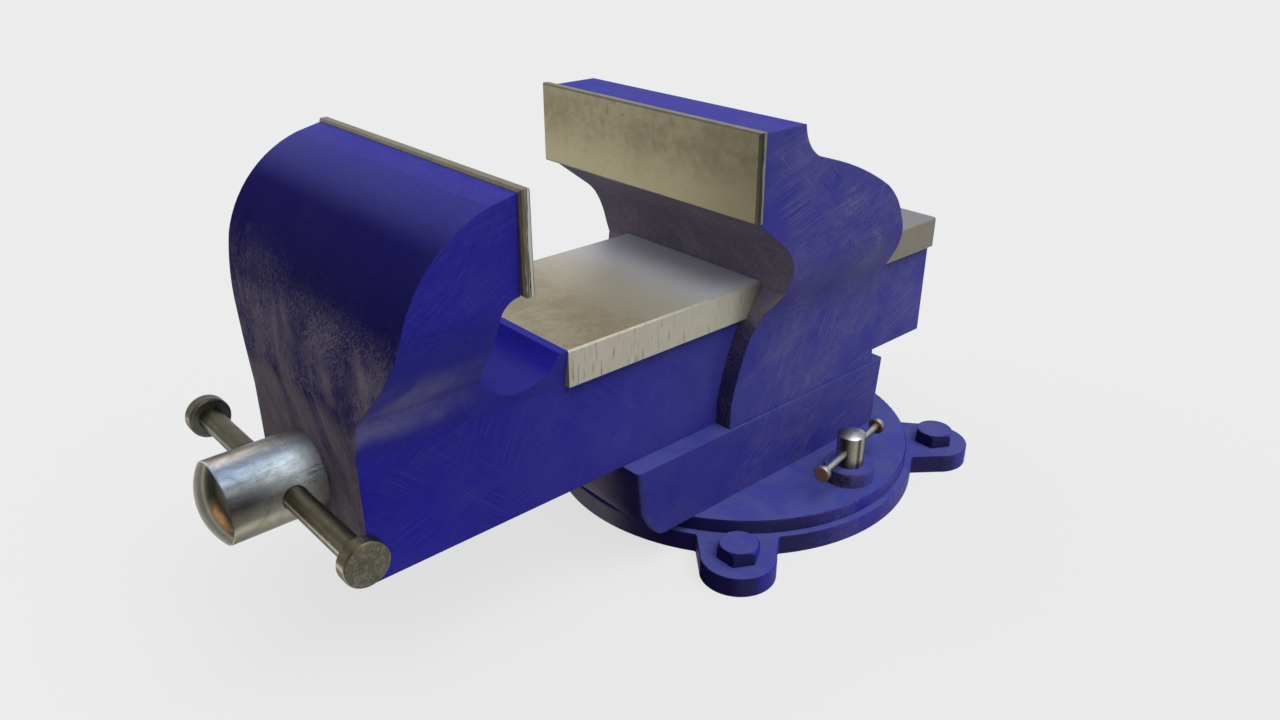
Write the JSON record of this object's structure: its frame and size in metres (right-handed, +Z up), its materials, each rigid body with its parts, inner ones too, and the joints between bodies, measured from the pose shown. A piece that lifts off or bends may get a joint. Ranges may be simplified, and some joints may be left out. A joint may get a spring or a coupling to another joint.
{
  "type": "swivel bench vise",
  "caption": "Bench vise on a round swivel base: cast jaws with plain steel plates, a sliding beam, a lead screw with a T-bar handle, and lock screws.",
  "frame": {"origin": "on the swivel axis, at the underside of the base, in the plane of the bench top", "axes": "+Z up along the swivel axis; +Y along the screw from the handle to the back; +X across the jaws"},
  "size_m": [0.208, 0.4121, 0.2634],
  "materials": {
    "blue_enamel": "gloss enamel, scuffed",
    "ground_steel": "ground and worn",
    "bright_steel": "turned and polished",
    "dark_steel": "oiled",
    "bronze": "machined"
  },
  "bodies": {
    "base": {"base_plate": "blue_enamel", "hold_down_bolts": "blue_enamel", "pivot_pin": "dark_steel"},
    "vise_body": {"swivel_body": "blue_enamel", "rear_jaw": "blue_enamel", "rear_jaw_plate": "ground_steel", "rear_plate_pins": "dark_steel", "lead_screw_nut": "bronze", "nut_bolts": "dark_steel", "t_nuts": "dark_steel"},
    "front_jaw": {"sliding_jaw": "blue_enamel", "slide_bar": "ground_steel", "slide_bar_screws": "dark_steel", "front_jaw_plate": "ground_steel", "front_plate_pins": "dark_steel"},
    "screw": {"lead_screw": "bright_steel", "thrust_collar": "dark_steel", "collar_pin": "dark_steel"},
    "handle": {"handle_bar": "bright_steel", "handle_caps": "bright_steel"},
    "lock_left": {"lock_screw_left": "bright_steel"},
    "lock_right": {"lock_screw_right": "bright_steel"},
    "lock_lever_left": {"lock_bar_left": "bright_steel", "lock_bar_caps_left": "bright_steel"},
    "lock_lever_right": {"lock_bar_right": "bright_steel", "lock_bar_caps_right": "bright_steel"}
  },
  "joints": [
    {"name": "swivel", "type": "hinge", "parent": "base", "child": "vise_body", "pos_m": [0, 0, 0.0105], "axis": [0, 0, 1], "continuous": true},
    {"name": "jaw_slide", "type": "slide", "parent": "vise_body", "child": "front_jaw", "axis": [0, 1, 0], "range_m": [-0.03, 0.1172]},
    {"name": "screw_turn", "type": "hinge", "parent": "front_jaw", "child": "screw", "pos_m": [0, -0.2541, 0.0928], "axis": [0, 1, 0], "range_deg": [-2160.5, 8438.9]},
    {"name": "handle_slide", "type": "slide", "parent": "screw", "child": "handle", "axis": [1, 0, 0], "range_m": [-0.0499, 0.0499]},
    {"name": "lock_turn_left", "type": "hinge", "parent": "vise_body", "child": "lock_left", "pos_m": [-0.0814, 0.0044, 0.0265], "axis": [0, 0, 1], "range_deg": [-13, 34]},
    {"name": "lock_turn_right", "type": "hinge", "parent": "vise_body", "child": "lock_right", "pos_m": [0.0814, 0.0044, 0.0265], "axis": [0, 0, 1], "range_deg": [-34, 13]},
    {"name": "lock_lever_slide_left", "type": "slide", "parent": "lock_left", "child": "lock_lever_left", "axis": [0.1822, 0.9833, 0], "range_m": [-0.0218, 0.0218]},
    {"name": "lock_lever_slide_right", "type": "slide", "parent": "lock_right", "child": "lock_lever_right", "axis": [-0.1822, 0.9833, 0], "range_m": [-0.0218, 0.0218]}
  ],
  "couplings": [
    {"joint": "screw_turn", "follows": "jaw_slide", "rad_per_m": 1256.6}
  ]
}
